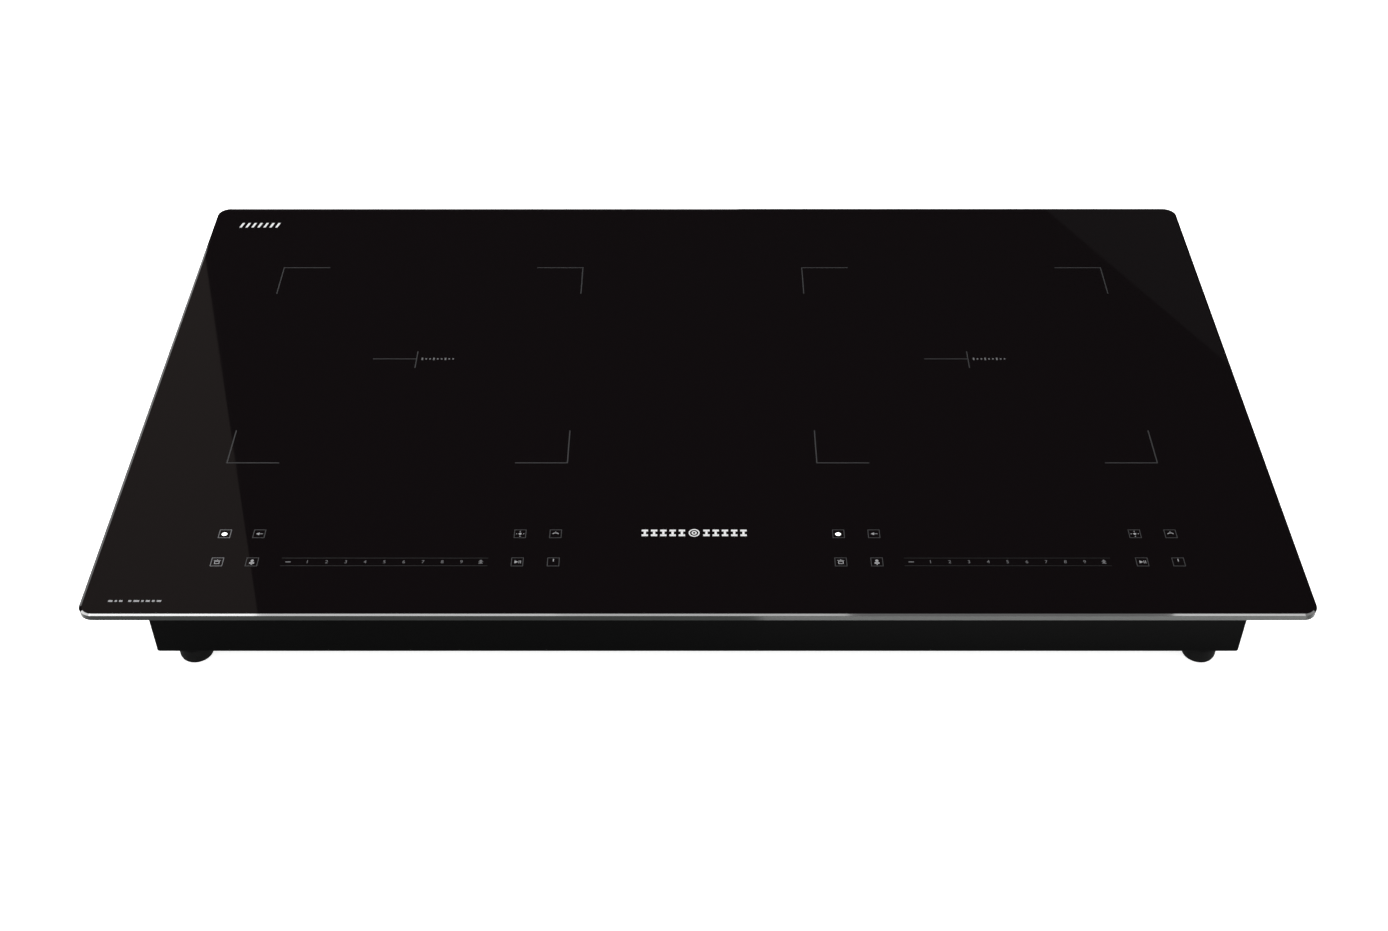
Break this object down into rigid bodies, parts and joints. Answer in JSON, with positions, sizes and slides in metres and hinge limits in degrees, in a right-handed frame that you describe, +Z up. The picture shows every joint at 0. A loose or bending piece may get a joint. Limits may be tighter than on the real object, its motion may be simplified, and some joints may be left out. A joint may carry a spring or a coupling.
{
  "type": "electric induction cooktop",
  "caption": "Built-in induction hob: bevelled black ceramic glass with marked zones and touch keys over a slim steel case with coils, blowers and boards, on low rubber feet.",
  "frame": {"origin": "on the plane the feet stand on, under the middle of the glass", "axes": "+X to the right along the long side, +Y to the back, +Z up"},
  "size_m": [0.73, 0.43, 0.07],
  "materials": {
    "ceramic_glass": "polished",
    "seal_foam": "matte",
    "galvanised_steel": "satin",
    "black_powder_coat": "matte",
    "foot_rubber": "matte",
    "zinc_steel": "satin",
    "aluminium_sheet": "satin",
    "aluminium_extrusion": "satin",
    "ferrite": "matte",
    "white_nylon": "matte",
    "black_nylon": "satin",
    "litz_copper": "satin",
    "mica": "satin",
    "sensor_silicone": "matte",
    "wire_sleeve": "satin",
    "spring_steel": "satin",
    "circuit_board": "satin",
    "epoxy": "satin",
    "capacitor_case": "gloss"
  },
  "bodies": {
    "housing": {"glass_top": "ceramic_glass", "rim_seal": "seal_foam", "glass_frame": "galvanised_steel", "bottom_case": "black_powder_coat", "foot_front_left": "foot_rubber", "case_screw_front_left": "zinc_steel", "foot_front_right": "foot_rubber", "case_screw_front_right": "zinc_steel", "foot_rear_left": "foot_rubber", "case_screw_rear_left": "zinc_steel", "foot_rear_right": "foot_rubber", "case_screw_rear_right": "zinc_steel", "coil_shelf": "aluminium_sheet", "coil_lead_left": "wire_sleeve", "blower_housing_left": "black_nylon", "blower_motor_left": "galvanised_steel", "board_tray_left": "black_nylon", "power_board_left": "circuit_board", "heat_sink_left": "aluminium_extrusion", "igbt_left": "epoxy", "capacitor_left": "capacitor_case", "touch_bracket_left": "white_nylon", "touch_board_left": "circuit_board", "ribbon_cable_left": "wire_sleeve", "coil_spring_left_1": "spring_steel", "coil_spring_left_2": "spring_steel", "coil_spring_left_3": "spring_steel", "coil_lead_right": "wire_sleeve", "blower_housing_right": "black_nylon", "blower_motor_right": "galvanised_steel", "board_tray_right": "black_nylon", "power_board_right": "circuit_board", "heat_sink_right": "aluminium_extrusion", "igbt_right": "epoxy", "capacitor_right": "capacitor_case", "touch_bracket_right": "white_nylon", "touch_board_right": "circuit_board", "ribbon_cable_right": "wire_sleeve", "coil_spring_right_1": "spring_steel", "coil_spring_right_2": "spring_steel", "coil_spring_right_3": "spring_steel", "filter_board": "circuit_board", "filter_choke": "litz_copper", "terminal_block": "white_nylon", "cable_gland": "black_nylon", "supply_lead": "wire_sleeve"},
    "coil_left": {"coil_plate_left": "aluminium_sheet", "ferrite_star_left": "ferrite", "coil_carrier_left": "white_nylon", "coil_winding_left": "litz_copper", "mica_disc_left": "mica", "temp_sensor_left": "sensor_silicone"},
    "wheel_left": {"blower_wheel_left": "black_nylon"},
    "coil_right": {"coil_plate_right": "aluminium_sheet", "ferrite_star_right": "ferrite", "coil_carrier_right": "white_nylon", "coil_winding_right": "litz_copper", "mica_disc_right": "mica", "temp_sensor_right": "sensor_silicone"},
    "wheel_right": {"blower_wheel_right": "black_nylon"}
  },
  "joints": [
    {"name": "coil_float_left", "type": "slide", "parent": "housing", "child": "coil_left", "axis": [0, 0, 1], "range_m": [-0.003, 0], "stiffness_N_per_m": 4000, "springref_m": 0.006, "deforming": ["coil_spring_left_1", "coil_spring_left_2", "coil_spring_left_3", "coil_lead_left"]},
    {"name": "blower_spin_left", "type": "hinge", "parent": "housing", "child": "wheel_left", "pos_m": [-0.058, 0.062, 0.02], "axis": [0, 0, 1], "continuous": true},
    {"name": "coil_float_right", "type": "slide", "parent": "housing", "child": "coil_right", "axis": [0, 0, 1], "range_m": [-0.003, 0], "stiffness_N_per_m": 4000, "springref_m": 0.006, "deforming": ["coil_spring_right_1", "coil_spring_right_2", "coil_spring_right_3", "coil_lead_right"]},
    {"name": "blower_spin_right", "type": "hinge", "parent": "housing", "child": "wheel_right", "pos_m": [0.058, 0.062, 0.02], "axis": [0, 0, 1], "continuous": true}
  ]
}
